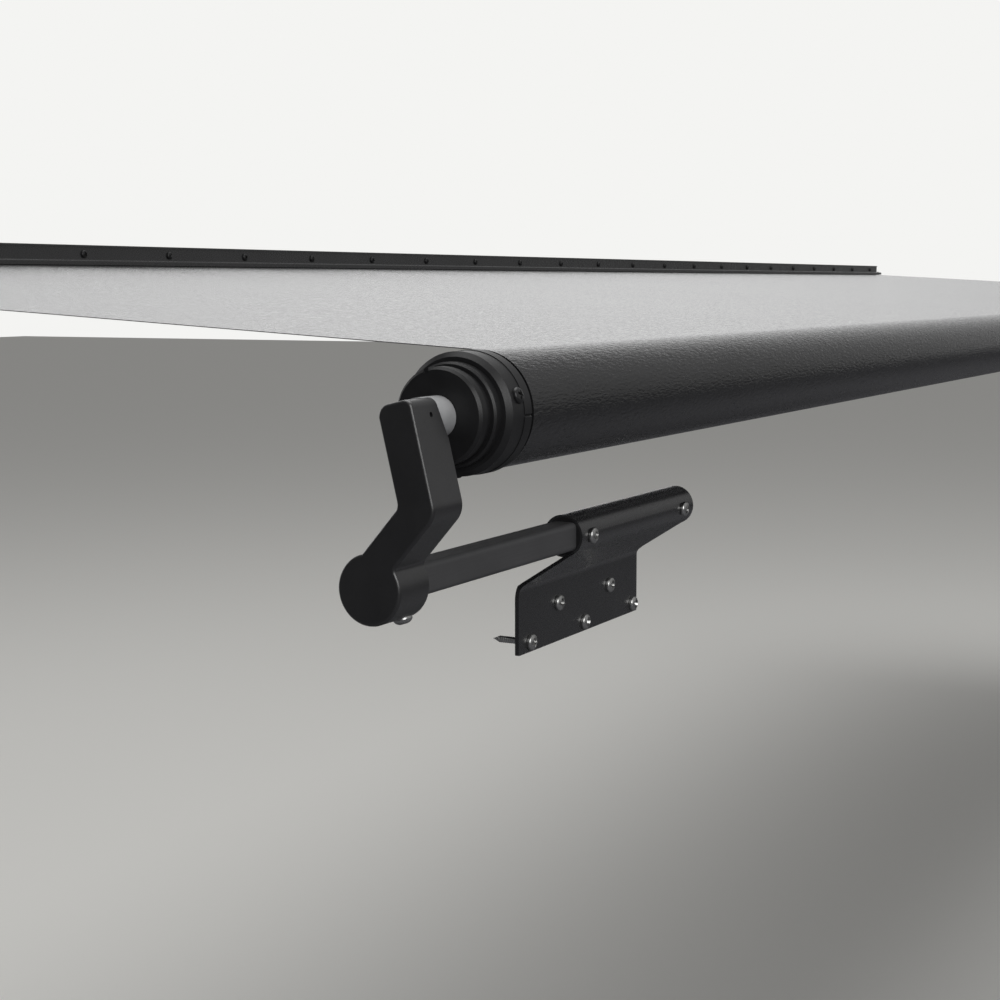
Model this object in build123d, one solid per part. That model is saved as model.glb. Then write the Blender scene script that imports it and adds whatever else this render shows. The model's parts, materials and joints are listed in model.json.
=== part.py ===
from build123d import *
import math
import os

# Slide-out box awning: a wall rail, a fabric and a spring roller carried on two
# telescoping arms that are bolted to the front wall of the slide-out room.
# Millimetres. +X runs along the roller, +Y points at the vehicle wall, +Z is up.
# The origin is on the back face of the wall rail, halfway along its row of screws.

# Wall rail
rail_end_margin = 35.0
rail_flange_top = 12.0
rail_flange_thickness = 3.0
rail_bead_height = 2.5
rail_bead_proud = 1.4
rail_channel_top = 8.0
rail_channel_depth = 18.0
rail_channel_round = 2.0
rail_slot_drop = 16.0
rail_slot_height = 2.6
rail_cavity_radius = 5.0
rail_wall = 3.0
rail_screw_pitch = 178.0
stop_screw_gap = 9.0
stop_screw_length = 14.0

# Fabric
fabric_width = 4524.0
fabric_thickness = 0.5
fabric_hem_thickness = 1.2
rail_rope_radius = 4.2
roller_rope_radius = 2.4
fabric_reach_out_of_rail = 3.0
wound_thickness = 1.9
soft_gap = 0.35

# Roller and its place when the room is fully out
wall_to_roller = 1130.0
roller_drop = 115.0
tube_radius = 33.0
tube_wall = 1.8
tube_slot_width = 2.0
tube_channel_wall = 1.4
rope_clearance = 0.3

# End cap, measured outwards from the fabric's edge
cap_gap = 5.0
cap_lip_length = 8.5
cap_lip_proud = 0.4
cap_rim_proud = 0.85
cap_rim_length = 25.0
cap_rim_bevel = 3.0
cap_end_wall = 4.0
cap_step_inset = 5.6
cap_step = 7.0
cap_step_bevel = 1.2
cap_neck_inset = 8.8
cap_neck = 5.2
cap_disc_inset = 7.8
cap_disc = 7.2
cap_disc_bevel = 1.6
cap_neck_wall = 3.0
cap_hollow_depth = 8.0
cap_hub_boss_radius = 15.0
cap_hub_boss_inset = 6.0
cap_screw_count = 3
cap_screw_first_angle = 18.0
cap_screw_inset = 18.5
cap_screw_sink = 0.4
cap_screw_head_radius = 4.8
cap_screw_head_height = 3.0
cap_notch_width = 1.4
cap_notch_angle = -1.0
disc_notch_angle = 107.0
disc_notch_width = 3.2
disc_notch_depth = 1.6

# Spindle and its bush
spindle_width = 12.7
spindle_corner = 1.0
bush_journal_radius = 10.0
bush_shoulder_radius = 12.0
bush_shoulder_length = 14.3
running_clearance = 0.05
fit_clearance = 0.1
face_gap = 0.3

# Torsion spring inside the left end of the roller
spring_start = 62.0
spring_length = 380.0
spring_outer_radius = 24.0
spring_wire = 4.0
collar_flange = 8.0
collar_boss_length = 20.0
plug_flange = 30.0
plug_boss_length = 20.0
spindle_tip_radius = 5.5
spindle_tip_length = 45.0
idler_spindle_inset = 60.0

# Arm
arm_thickness = 32.0
arm_front_wall = 5.0
arm_half_width = 11.2
arm_top_reach = 11.0
arm_top_shift = 2.1
arm_elbow_out = 13.7
arm_elbow_drop = 47.9
arm_lower_half_width = 10.3
arm_lower_lean = 41.0
arm_drop = 92.8
arm_set_back = 17.3
arm_boss_radius = 20.2
arm_front_round = 2.0
arm_back_bevel = 1.0
arm_top_back_round = 7.0
arm_top_front_round = 5.0
arm_crook_round = 6.0
arm_elbow_round = 13.0
arm_notch_round = 3.0
arm_pocket_round = 2.0
arm_shell_wall = 4.0
arm_relief_drop = 14.0
arm_relief_depth = 6.5
arm_spindle_boss_radius = 13.0
lock_pin_radius = 1.5
lock_pin_rise = 3.5
lock_pin_depth = 18.0
clamp_screw_inset = 6.5
clamp_screw_lean = 18.0
clamp_screw_sink = 0.6

# Bar
bar_width = 19.0
bar_corner = 3.5
bar_wall = 2.0
bar_reach = 326.0

# Bracket, measured inwards from the fabric's edge
sleeve_start = 142.0
sleeve_length = 191.0
sleeve_outer_radius = 14.3
sleeve_wall = 1.7
plate_start = 100.7
plate_length = 186.5
plate_drop = 74.8
plate_thickness = 2.8
plate_web_drop = 30.3
plate_web_round = 6.0
plate_corner = 12.0
plate_crook_round = 5.0
plate_lower_corner = 0.8
sleeve_bush_length = 11.0
sleeve_bush_recess = 0.2
plate_screw_pitch = 81.0
plate_lower_row_margin = 6.4
plate_row_spacing = 20.0
plate_screw_margin = 16.8
sleeve_screw_first_margin = 15.0
sleeve_screw_last_margin = 19.0
sleeve_screw_drop = 0.5

# Screws
screw_head_radius = 5.5
screw_head_height = 3.5
screw_shank_radius = 2.4
screw_neck_radius = 2.1
wall_screw_length = 28.0
small_head_radius = 3.2
small_head_height = 1.8
small_shank_radius = 1.8
clamp_shank_radius = 3.0
rivet_radius = 2.4
rivet_length = 9.0
rivet_sink = 0.3
rivet_angles = [0.0, 180.0]
hole_clearance = 0.1

# Places worked out from the driving sizes
edge_x = fabric_width / 2
rail_length = fabric_width + 2 * rail_end_margin
rail_screw_count = int(rail_length / rail_screw_pitch) + 1
roller_y = -wall_to_roller
roller_z = -roller_drop
roll_radius = tube_radius + running_clearance + wound_thickness
tube_inner_radius = tube_radius - tube_wall
cap_rim_radius = roll_radius + cap_rim_proud
cap_step_radius = cap_rim_radius - cap_step_inset
cap_neck_radius = cap_rim_radius - cap_neck_inset
cap_disc_radius = cap_rim_radius - cap_disc_inset
cap_hollow_radius = cap_neck_radius - cap_neck_wall
rim_end = cap_gap + cap_rim_length
step_end = rim_end + cap_step
neck_end = step_end + cap_neck
disc_end = neck_end + cap_disc
arm_back = disc_end + face_gap + bush_shoulder_length
arm_front = arm_back + arm_thickness
tube_end = rim_end - cap_end_wall
bar_y = roller_y + arm_set_back
bar_z = roller_z - arm_drop
sleeve_end = sleeve_start + sleeve_length
sleeve_bore = sleeve_outer_radius - sleeve_wall
slot_z = -rail_slot_drop
cavity_y = -rail_wall - rail_cavity_radius
spindle_bore = spindle_width + 2 * fit_clearance
rope_channel_radius = roller_rope_radius + rope_clearance
rope_r = tube_radius - tube_wall - rope_channel_radius


def left_x(outward):
    """X of a point that lies a distance outwards of the fabric's left edge."""
    return -edge_x - outward


def shaft(x_from, x_to, outer, inner=0.0):
    """Round bar or tube along X, centred on the roller's axis line."""
    length = abs(x_to - x_from)
    body = Cylinder(outer, length, rotation=(0, 90, 0))
    if inner > 0:
        body -= Cylinder(inner, length + 2, rotation=(0, 90, 0))
    return Pos((x_from + x_to) / 2, 0, 0) * body


def square_bar(x_from, x_to, width, corner):
    """Bar along X with rounded long edges, centred on Y and Z."""
    section = Plane.YZ * RectangleRounded(width, width, corner)
    length = abs(x_to - x_from)
    return Pos(min(x_from, x_to), 0, 0) * extrude(section, length)


def turned(points):
    """Solid turned about X from (distance along X, radius) points."""
    outline = Polyline(*points, close=True)
    return revolve(make_face(outline), Axis.X)


def at_roller(shape):
    """Places a shape drawn about the X axis on the roller's axis."""
    return Pos(0, roller_y, roller_z) * shape


def at_bar(shape):
    """Places a shape drawn about the X axis on the bar's axis."""
    return Pos(0, bar_y, bar_z) * shape


def about_x(shape, angle):
    """Turns a shape from +Z so that it points at an angle from -Y towards +Z."""
    return Rot(90 - angle, 0, 0) * shape


def pan_screw(head_radius, head_height, shank_radius, length, pointed=True):
    """Pan-head screw with a cross recess, its head above the XY plane."""
    side = 0.35 * head_height
    dome = 0.85 * head_height
    lines = Polyline((0, head_height), (0, 0), (head_radius, 0), (head_radius, side))
    arc = ThreePointArc((head_radius, side), (0.72 * head_radius, dome), (0, head_height))
    head = revolve(Plane.XZ * make_face(lines + arc), Axis.Z)
    tip = 2 * shank_radius if pointed else 0.4 * shank_radius
    end_radius = 0.15 * shank_radius if pointed else 0.7 * shank_radius
    straight = Polyline((0, 0), (shank_radius, 0), (shank_radius, -length + tip),
                        (end_radius, -length), (0, -length), close=True)
    shank = revolve(Plane.XZ * make_face(straight), Axis.Z)
    depth = 0.5 * head_height
    blade = Box(1.05 * head_radius, 0.22 * head_radius, 2 * depth)
    recess = Pos(0, 0, head_height) * (blade + Rot(0, 0, 90) * blade)
    return head + shank - recess


def wall_screw(sheet_thickness):
    """Pan-head screw for a wall, with a thinner neck through the sheet that it holds."""
    screw = pan_screw(screw_head_radius, screw_head_height, screw_shank_radius, wall_screw_length)
    thread = Cylinder(screw_head_radius, sheet_thickness)
    thread -= Cylinder(screw_neck_radius, sheet_thickness)
    return screw - Pos(0, 0, -sheet_thickness / 2) * thread


def group(shapes):
    """Several separate solids kept as one node."""
    return Compound(children=[solid for shape in shapes for solid in shape.solids()])


def both_ends(name, left):
    """Stores a left-hand piece and its mirror image for the right-hand end."""
    nodes["left_" + name] = left
    nodes["right_" + name] = mirror(left, Plane.YZ)


nodes = {}


def rail_screw_places():
    """X of each rail screw."""
    first = -(rail_screw_count - 1) * rail_screw_pitch / 2
    return [first + i * rail_screw_pitch for i in range(rail_screw_count)]


def stop_screw_places():
    """X of the two screws that stop the fabric sliding along the rail."""
    return [-edge_x - stop_screw_gap, edge_x + stop_screw_gap]


def make_rail():
    """Extruded rail: screw flange, lip along its top and slotted rope channel."""
    channel_low = slot_z - rail_cavity_radius - rail_wall
    flange_height = rail_flange_top - channel_low
    flange = Pos(-rail_flange_thickness / 2, channel_low + flange_height / 2) * Rectangle(
        rail_flange_thickness, flange_height)
    lip_depth = rail_flange_thickness + rail_bead_proud
    lip = Pos(-lip_depth / 2, rail_flange_top - rail_bead_height / 2) * Rectangle(
        lip_depth, rail_bead_height)
    channel_height = -rail_channel_top - channel_low
    channel = Pos(-rail_channel_depth / 2, channel_low + channel_height / 2) * Rectangle(
        rail_channel_depth, channel_height)
    channel = fillet(channel.vertices().group_by(Axis.X)[0], rail_channel_round)
    cavity = Pos(cavity_y, slot_z) * Circle(rail_cavity_radius)
    slot = Pos(cavity_y - rail_channel_depth / 2, slot_z) * Rectangle(
        rail_channel_depth, rail_slot_height)
    profile = flange + lip + channel - cavity - slot
    rail = Pos(-rail_length / 2, 0, 0) * extrude(Plane.YZ * profile, rail_length)
    drill = Cylinder(screw_shank_radius + hole_clearance, 3 * rail_flange_thickness,
                     rotation=(90, 0, 0))
    rail -= [Pos(x, 0, 0) * drill for x in rail_screw_places()]
    stop_drill = Cylinder(small_shank_radius + hole_clearance, 2 * rail_channel_depth)
    rail -= [Pos(x, stop_screw_y, slot_z) * stop_drill for x in stop_screw_places()]
    return rail


def make_rail_rope():
    """Rope sewn in the fabric's edge and the hem that leaves the rail's slot."""
    rope = Pos(cavity_y, slot_z) * Circle(rail_rope_radius)
    hem_length = cavity_y - span_start_y
    hem = Pos(cavity_y - hem_length / 2, slot_z) * Rectangle(hem_length, fabric_hem_thickness)
    section = Plane.YZ * (rope + hem)
    return Pos(-edge_x, 0, 0) * extrude(section, fabric_width)


def make_span():
    """Taut fabric from the rail to the place where it meets the roll."""
    reach = roll_radius + soft_gap + fabric_thickness / 2
    run = span_start_y - roller_y
    rise = slot_z - roller_z
    distance = math.hypot(run, rise)
    touch = math.atan2(rise, run) + math.acos(reach / distance)
    half = fabric_thickness / 2
    outer = reach + half
    inner = reach - half
    section = Polyline(
        (span_start_y, slot_z - half),
        (span_start_y, slot_z + half),
        (roller_y + outer * math.cos(touch), roller_z + outer * math.sin(touch)),
        (roller_y + inner * math.cos(touch), roller_z + inner * math.sin(touch)),
        close=True)
    return Pos(-edge_x, 0, 0) * extrude(Plane.YZ * make_face(section), fabric_width)


def make_tube():
    """Extruded roller tube with a rope channel folded into its wall."""
    ring = Circle(tube_radius) - Circle(tube_inner_radius)
    channel = Pos(0, -rope_r) * Circle(rope_channel_radius + tube_channel_wall)
    rope_bore = Pos(0, -rope_r) * Circle(rope_channel_radius)
    mouth = Pos(0, -(rope_r + tube_radius) / 2) * Rectangle(
        tube_slot_width, tube_radius - rope_r)
    profile = ring + (channel & Circle(tube_radius)) - rope_bore - mouth
    tube = extrude(Plane.YZ * profile, 2 * (edge_x + tube_end - fit_clearance))
    tube = Pos(left_x(tube_end) + fit_clearance, 0, 0) * tube
    drill_length = 4 * tube_wall
    for side in (-1, 1):
        for angle in cap_screw_angles():
            hole = Cylinder(small_shank_radius + hole_clearance, drill_length)
            hole = about_x(Pos(0, 0, tube_radius - tube_wall / 2) * hole, angle)
            tube -= Pos(side * (edge_x + cap_screw_inset), 0, 0) * hole
    for angle in rivet_angles:
        hole = Cylinder(rivet_radius, drill_length)
        hole = about_x(Pos(0, 0, tube_radius - tube_wall / 2) * hole, angle)
        tube -= Pos(rivet_x, 0, 0) * hole
    return at_roller(tube)


def cap_screw_angles():
    """Angles of the screws around a cap's rim."""
    return [cap_screw_first_angle + i * 360 / cap_screw_count for i in range(cap_screw_count)]


def make_roller_rope():
    """Rope in the roller's channel and the hem that leaves it."""
    rope = Pos(0, -rope_r) * Circle(roller_rope_radius)
    hem_length = tube_radius - rope_r
    hem = Pos(0, -rope_r - hem_length / 2) * Rectangle(fabric_hem_thickness, hem_length)
    section = Plane.YZ * (rope + hem)
    return at_roller(Pos(-edge_x, 0, 0) * extrude(section, fabric_width))


def make_cap():
    """Moulded cap: rim over the tube, stepped nose, bevelled disc and bush bore."""
    bore = bush_journal_radius + running_clearance
    hub_start = tube_end - cap_hub_boss_inset
    hollow_end = rim_end + cap_hollow_depth
    lip_end = cap_gap + cap_lip_length
    lip_radius = cap_rim_radius + cap_lip_proud
    points = [
        (left_x(cap_gap), tube_radius + running_clearance),
        (left_x(cap_gap), lip_radius),
        (left_x(lip_end), lip_radius),
        (left_x(lip_end), cap_rim_radius),
        (left_x(rim_end - cap_rim_bevel), cap_rim_radius),
        (left_x(rim_end), cap_rim_radius - cap_rim_bevel),
        (left_x(rim_end), cap_step_radius),
        (left_x(step_end - cap_step_bevel), cap_step_radius),
        (left_x(step_end), cap_step_radius - cap_step_bevel),
        (left_x(step_end), cap_neck_radius),
        (left_x(neck_end), cap_neck_radius),
        (left_x(neck_end), cap_disc_radius),
        (left_x(disc_end - cap_disc_bevel), cap_disc_radius),
        (left_x(disc_end), cap_disc_radius - cap_disc_bevel),
        (left_x(disc_end), bore),
        (left_x(hub_start), bore),
        (left_x(hub_start), cap_hub_boss_radius),
        (left_x(hollow_end), cap_hub_boss_radius),
        (left_x(hollow_end), cap_hollow_radius),
        (left_x(tube_end), cap_hollow_radius),
        (left_x(tube_end), tube_radius + running_clearance),
    ]
    cap = turned(points)
    for angle in cap_screw_angles():
        hole = Cylinder(small_shank_radius + hole_clearance, 2 * cap_rim_radius)
        hole = about_x(Pos(0, 0, cap_rim_radius) * hole, angle)
        cap -= Pos(left_x(cap_screw_inset), 0, 0) * hole
        seat = Cylinder(cap_screw_head_radius + fit_clearance, 2 * cap_screw_sink)
        seat = about_x(Pos(0, 0, cap_rim_radius) * seat, angle)
        cap -= Pos(left_x(cap_screw_inset), 0, 0) * seat
        notch = Rot(45, 0, 0) * Box(cap_lip_length, cap_notch_width, cap_notch_width)
        notch = about_x(Pos(0, 0, lip_radius) * notch, angle + cap_notch_angle
                        - cap_screw_first_angle)
        cap -= Pos(left_x(cap_gap + cap_lip_length / 2), 0, 0) * notch
    notch = Box(2 * disc_notch_depth, disc_notch_width, 2 * disc_notch_depth)
    notch = about_x(Pos(0, 0, cap_disc_radius - cap_disc_bevel / 2) * notch, disc_notch_angle)
    cap -= Pos(left_x(disc_end), 0, 0) * notch
    return at_roller(cap)


def make_cap_screws():
    """Screws through a cap's rim into the tube."""
    seat_radius = cap_rim_radius - cap_screw_sink
    length = seat_radius - tube_inner_radius + small_shank_radius
    screw = pan_screw(cap_screw_head_radius, cap_screw_head_height, small_shank_radius, length,
                      False)
    screws = []
    for angle in cap_screw_angles():
        placed = about_x(Pos(0, 0, seat_radius) * screw, angle)
        screws.append(Pos(left_x(cap_screw_inset), 0, 0) * placed)
    return at_roller(group(screws))


def arm_relief():
    """Wedge off the arm's back, where it slopes forwards from below the roller's axis."""
    slope = arm_relief_depth / (arm_relief_drop + arm_top_reach)
    rise = 2 * arm_top_reach
    depth = slope * (rise + arm_relief_drop)
    wedge = make_face(Polyline(
        (left_x(arm_back), -arm_relief_drop),
        (left_x(arm_back + depth), rise),
        (left_x(arm_back), rise),
        close=True))
    return extrude(Plane.XZ * wedge, arm_boss_radius, both=True)


def make_bush():
    """Bush: journal in the cap's bore and a shoulder that fills the arm's relief."""
    shoulder = shaft(left_x(arm_back), left_x(disc_end + face_gap), bush_shoulder_radius)
    shoulder += arm_relief() & shaft(left_x(arm_front), left_x(arm_back), bush_shoulder_radius)
    journal_start = tube_end - cap_hub_boss_inset
    journal = shaft(left_x(disc_end + face_gap), left_x(journal_start), bush_journal_radius)
    hole = square_bar(left_x(arm_front), left_x(journal_start - 1), spindle_bore,
                      spindle_corner)
    return at_roller(shoulder + journal - hole)


def make_spindle(inset):
    """Square spindle from the arm's socket to a depth inside the roller."""
    socket_end = arm_front - arm_front_wall - fit_clearance
    return square_bar(left_x(socket_end), left_x(-inset), spindle_width, spindle_corner)


def lock_pin_hole():
    """Hole for a lock pin, across the arm and through the spindle."""
    hole = Cylinder(lock_pin_radius, 4 * arm_half_width, rotation=(90, 0, 0))
    return Pos(left_x(arm_front - lock_pin_depth), 0, lock_pin_rise) * hole


def make_spring_spindle():
    """Long spindle with a turned tip that runs in the spring plug."""
    tip_start = plug_start - face_gap
    spindle = make_spindle(tip_start)
    tip = shaft(left_x(-tip_start), left_x(-tip_start - spindle_tip_length), spindle_tip_radius)
    return at_roller(spindle + tip - lock_pin_hole())


def make_collar():
    """Collar on the spindle that holds the spring's still end."""
    flange = shaft(left_x(-collar_start), left_x(-spring_start + face_gap), spring_outer_radius)
    boss = shaft(left_x(-spring_start + face_gap), left_x(-spring_start - collar_boss_length),
                 spring_inner_radius - soft_gap)
    hole = square_bar(left_x(-collar_start + 1), left_x(-spring_start - collar_boss_length - 1),
                      spindle_bore, spindle_corner)
    return at_roller(flange + boss - hole)


def make_spring():
    """Close-wound torsion spring as its outer and inner cylinders."""
    spring = shaft(left_x(-spring_start), left_x(-spring_end), spring_outer_radius,
                   spring_inner_radius)
    return at_roller(spring)


def make_spring_plug():
    """Plug riveted in the tube that turns the spring's other end."""
    boss = shaft(left_x(-plug_start), left_x(-spring_end), spring_inner_radius - soft_gap)
    flange = shaft(left_x(-spring_end), left_x(-plug_end), tube_inner_radius - fit_clearance)
    channel = Pos(0, -rope_r) * Circle(rope_channel_radius + tube_channel_wall + fit_clearance)
    relief = Pos(0, -rope_r - tube_inner_radius / 2) * Rectangle(
        2 * (rope_channel_radius + tube_channel_wall), tube_inner_radius)
    groove = extrude(Plane.YZ * (channel + relief), plug_flange + 2)
    groove = Pos(left_x(-spring_end) - 1, 0, 0) * groove
    bore = shaft(left_x(-plug_start + 1), left_x(-plug_end - 1),
                 spindle_tip_radius + running_clearance)
    plug = boss + flange - groove - bore
    for angle in rivet_angles:
        hole = Cylinder(rivet_radius, rivet_length)
        hole = about_x(Pos(0, 0, rivet_centre) * hole, angle)
        plug -= Pos(rivet_x, 0, 0) * hole
    return at_roller(plug)


def make_rivets():
    """Rivets through the tube's wall into the spring plug."""
    rivets = []
    for angle in rivet_angles:
        rivet = Pos(0, 0, rivet_centre) * Cylinder(rivet_radius, rivet_length)
        rivets.append(Pos(rivet_x, 0, 0) * about_x(rivet, angle))
    return at_roller(group(rivets))


def tangent_point(centre, radius, point, side):
    """Where a line from a point touches a circle, on the side +1 or -1 of it."""
    dy = point[0] - centre[0]
    dz = point[1] - centre[1]
    turn = math.atan2(dz, dy) + side * math.acos(radius / math.hypot(dy, dz))
    return (centre[0] + radius * math.cos(turn), centre[1] + radius * math.sin(turn))


def beside(point, lean, side):
    """Point moved towards +Y off a line that leans from -Z towards +Y."""
    turn = math.radians(lean)
    return (point[0] + side * math.cos(turn), point[1] + side * math.sin(turn))


def meet(start, lean, other, other_lean):
    """Where two lines cross, each given by a point and its lean from -Z."""
    step = (math.sin(math.radians(lean)), -math.cos(math.radians(lean)))
    other_step = (math.sin(math.radians(other_lean)), -math.cos(math.radians(other_lean)))
    gap = (other[0] - start[0], other[1] - start[1])
    along = (gap[0] * other_step[1] - gap[1] * other_step[0]) / (
        step[0] * other_step[1] - step[1] * other_step[0])
    return (start[0] + along * step[0], start[1] + along * step[1])


def rounded(face, corner, radius):
    """Rounds the corner of a flat face that lies nearest a point."""
    return fillet(face.vertices().sort_by_distance((*corner, 0))[:1], radius)


def arm_limbs(inset):
    """Dog-leg outline of the arm's limbs about the roller's axis, in Y and Z."""
    upper_lean = -math.degrees(math.atan((arm_elbow_out - arm_top_shift) / arm_elbow_drop))
    top = (-arm_top_shift, 0)
    elbow = (-arm_elbow_out, -arm_elbow_drop)
    half = arm_half_width - inset
    lower_half = arm_lower_half_width - inset
    top_edge = beside(top, upper_lean + 90, arm_top_reach - inset)
    back_top = meet(top_edge, upper_lean + 90, beside(top, upper_lean, half), upper_lean)
    front_top = meet(top_edge, upper_lean + 90, beside(top, upper_lean, -half), upper_lean)
    crook = meet(back_top, upper_lean, beside(elbow, arm_lower_lean, lower_half), arm_lower_lean)
    heel = meet(front_top, upper_lean, beside(elbow, arm_lower_lean, -lower_half), arm_lower_lean)
    boss_level = (arm_set_back, -arm_drop)
    back_end = meet(crook, arm_lower_lean, boss_level, arm_lower_lean + 90)
    front_end = meet(heel, arm_lower_lean, boss_level, arm_lower_lean + 90)
    limbs = make_face(Polyline(back_top, crook, back_end, front_end, heel, front_top,
                               close=True))
    limbs = rounded(limbs, back_top, arm_top_back_round - min(inset, arm_pocket_round))
    limbs = rounded(limbs, front_top, arm_top_front_round)
    limbs = rounded(limbs, crook, arm_crook_round + inset)
    return rounded(limbs, heel, arm_elbow_round - inset)


def arm_outline():
    """Outline of the arm: its limbs and the round boss that grips the bar."""
    outline = arm_limbs(0.0) + Pos(arm_set_back, -arm_drop) * Circle(arm_boss_radius)
    on_boss = [v for v in outline.vertices() if abs(
        math.hypot(v.X - arm_set_back, v.Y + arm_drop) - arm_boss_radius) < 0.01]
    notch = ShapeList(on_boss).sort_by(Axis.X)[0]
    return fillet([notch], arm_notch_round)


def make_arm():
    """Cast arm: rounded front edge, square sockets, open at the back of its limbs."""
    outline = arm_outline()
    arm = extrude(Plane.YZ * outline, arm_thickness)
    front = arm.faces().sort_by(Axis.X)[0]
    arm = fillet(front.outer_wire().edges(), arm_front_round)
    back = arm.faces().sort_by(Axis.X)[-1]
    arm = chamfer(back.outer_wire().edges(), arm_back_bevel)
    arm = Pos(left_x(arm_front), 0, 0) * arm
    hollow = arm_limbs(arm_shell_wall)
    hollow -= Circle(arm_spindle_boss_radius)
    hollow -= Pos(arm_set_back, -arm_drop) * Circle(arm_boss_radius)
    pocket = extrude(Plane.YZ * hollow, arm_thickness - arm_front_wall)
    arm -= Pos(left_x(arm_front - arm_front_wall), 0, 0) * pocket
    socket_start = arm_front - arm_front_wall
    arm -= square_bar(left_x(socket_start), left_x(arm_back - 1), spindle_bore, spindle_corner)
    arm -= Pos(0, arm_set_back, -arm_drop) * square_bar(
        left_x(socket_start), left_x(arm_back - 1), bar_width + 2 * fit_clearance, bar_corner)
    arm -= arm_relief()
    arm -= lock_pin_hole()
    screw_hole = Cylinder(clamp_shank_radius + hole_clearance, 2 * arm_boss_radius)
    arm -= at_clamp_screw(Pos(0, 0, arm_boss_radius) * screw_hole)
    seat = Cylinder(screw_head_radius + fit_clearance, 2 * clamp_screw_sink)
    arm -= at_clamp_screw(Pos(0, 0, arm_boss_radius) * seat)
    return at_roller(arm)


def at_clamp_screw(shape):
    """Turns a shape from +Z to the clamp screw's direction out of the arm's boss."""
    return Pos(clamp_x, arm_set_back, -arm_drop) * Rot(180 - clamp_screw_lean, 0, 0) * shape


def make_arm_clamp_screw():
    """Screw up through the arm's boss that grips the bar."""
    lean = math.radians(clamp_screw_lean)
    tip = (bar_width / 2 + fit_clearance + clamp_shank_radius * math.sin(lean)) / math.cos(lean)
    seat = arm_boss_radius - clamp_screw_sink
    screw = pan_screw(screw_head_radius, screw_head_height, clamp_shank_radius, seat - tip, False)
    return at_roller(at_clamp_screw(Pos(0, 0, seat) * screw))


def make_bar():
    """Square tube that slides in the bracket's sleeve and carries the arm."""
    bar_start = left_x(arm_front - arm_front_wall - fit_clearance)
    outer = square_bar(bar_start, left_x(-bar_reach), bar_width, bar_corner)
    inner = square_bar(bar_start - 1, left_x(-bar_reach - 1), bar_width - 2 * bar_wall,
                       bar_corner - bar_wall)
    return at_bar(outer - inner)


def web_touch():
    """Where the sloping web meets the sleeve, about the bar's axis."""
    front = sleeve_outer_radius - plate_thickness
    bend = (front, -plate_web_drop)
    return tangent_point((0, 0), sleeve_outer_radius, bend, -1)


def web_profile():
    """Section of the bracket's plate and sloping web about the bar's axis."""
    back = sleeve_outer_radius
    front = back - plate_thickness
    touch = web_touch()
    slope = math.hypot(touch[0] - front, touch[1] + plate_web_drop)
    along = ((touch[0] - front) / slope, (touch[1] + plate_web_drop) / slope)
    inward = (-touch[0] / sleeve_outer_radius, -touch[1] / sleeve_outer_radius)
    rise = (back - front - inward[0] * plate_thickness) / along[0]
    back_bend = -plate_web_drop + inward[1] * plate_thickness + along[1] * rise
    inner = (touch[0] + inward[0] * plate_thickness, touch[1] + inward[1] * plate_thickness)
    section = make_face(Polyline(
        touch,
        (front, -plate_web_drop),
        (front, -plate_drop),
        (back, -plate_drop),
        (back, back_bend),
        inner,
        close=True))
    return rounded(section, (front, -plate_web_drop), plate_web_round)


def bracket_front():
    """Outline of the plate and web from the front: distance inwards and Z."""
    touch_z = web_touch()[1]
    start_bend = (plate_start, -plate_web_drop)
    end_bend = (plate_end, -plate_web_drop + plate_thickness)
    outline = make_face(Polyline(
        (sleeve_start, 0),
        (sleeve_end, 0),
        (sleeve_end, touch_z),
        end_bend,
        (plate_end, -plate_drop),
        (plate_start, -plate_drop),
        start_bend,
        (sleeve_start, touch_z),
        close=True))
    outline = rounded(outline, (plate_start, -plate_drop), plate_lower_corner)
    outline = rounded(outline, (plate_end, -plate_drop), plate_lower_corner)
    outline = rounded(outline, end_bend, plate_crook_round)
    return rounded(outline, start_bend, plate_corner)


def make_bracket():
    """Bracket: round sleeve, sloping web and a flat plate with five holes."""
    web = Pos(left_x(-plate_start), 0, 0) * extrude(
        Plane.YZ * web_profile(), sleeve_end - plate_start)
    front = Plane.XZ.offset(-sleeve_outer_radius - 1) * bracket_front()
    web = web & (Pos(left_x(0), 0, 0) * extrude(front, 2 * sleeve_outer_radius + 2))
    body = web + shaft(left_x(-sleeve_start), left_x(-sleeve_end), sleeve_outer_radius)
    body -= shaft(left_x(-plate_start + 1), left_x(-sleeve_end - 1), sleeve_bore)
    drill = Cylinder(screw_shank_radius + hole_clearance, 3 * plate_thickness,
                     rotation=(90, 0, 0))
    for x, z in plate_screw_places():
        body -= Pos(left_x(-x), sleeve_outer_radius, z) * drill
    for x in sleeve_screw_places():
        body -= Pos(left_x(-x), -sleeve_outer_radius, -sleeve_screw_drop) * drill
    return at_bar(body)


def plate_screw_places():
    """Distance inwards and Z of the plate's screws, lower row then upper row."""
    low = plate_lower_row_margin - plate_drop
    first = plate_start + plate_screw_margin
    lower = [(first + i * plate_screw_pitch, low) for i in range(3)]
    upper = [(first + (i + 0.5) * plate_screw_pitch, low + plate_row_spacing) for i in range(2)]
    return lower + upper


def sleeve_screw_places():
    """Distance inwards of the two screws that lock the bar."""
    return [sleeve_start + sleeve_screw_first_margin, sleeve_end - sleeve_screw_last_margin]


def make_bracket_screws():
    """Screws that fasten the bracket's plate to the room's front wall."""
    screw = Rot(90, 0, 0) * wall_screw(plate_thickness)
    front = sleeve_outer_radius - plate_thickness
    return at_bar(group([Pos(left_x(-x), front, z) * screw for x, z in plate_screw_places()]))


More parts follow.
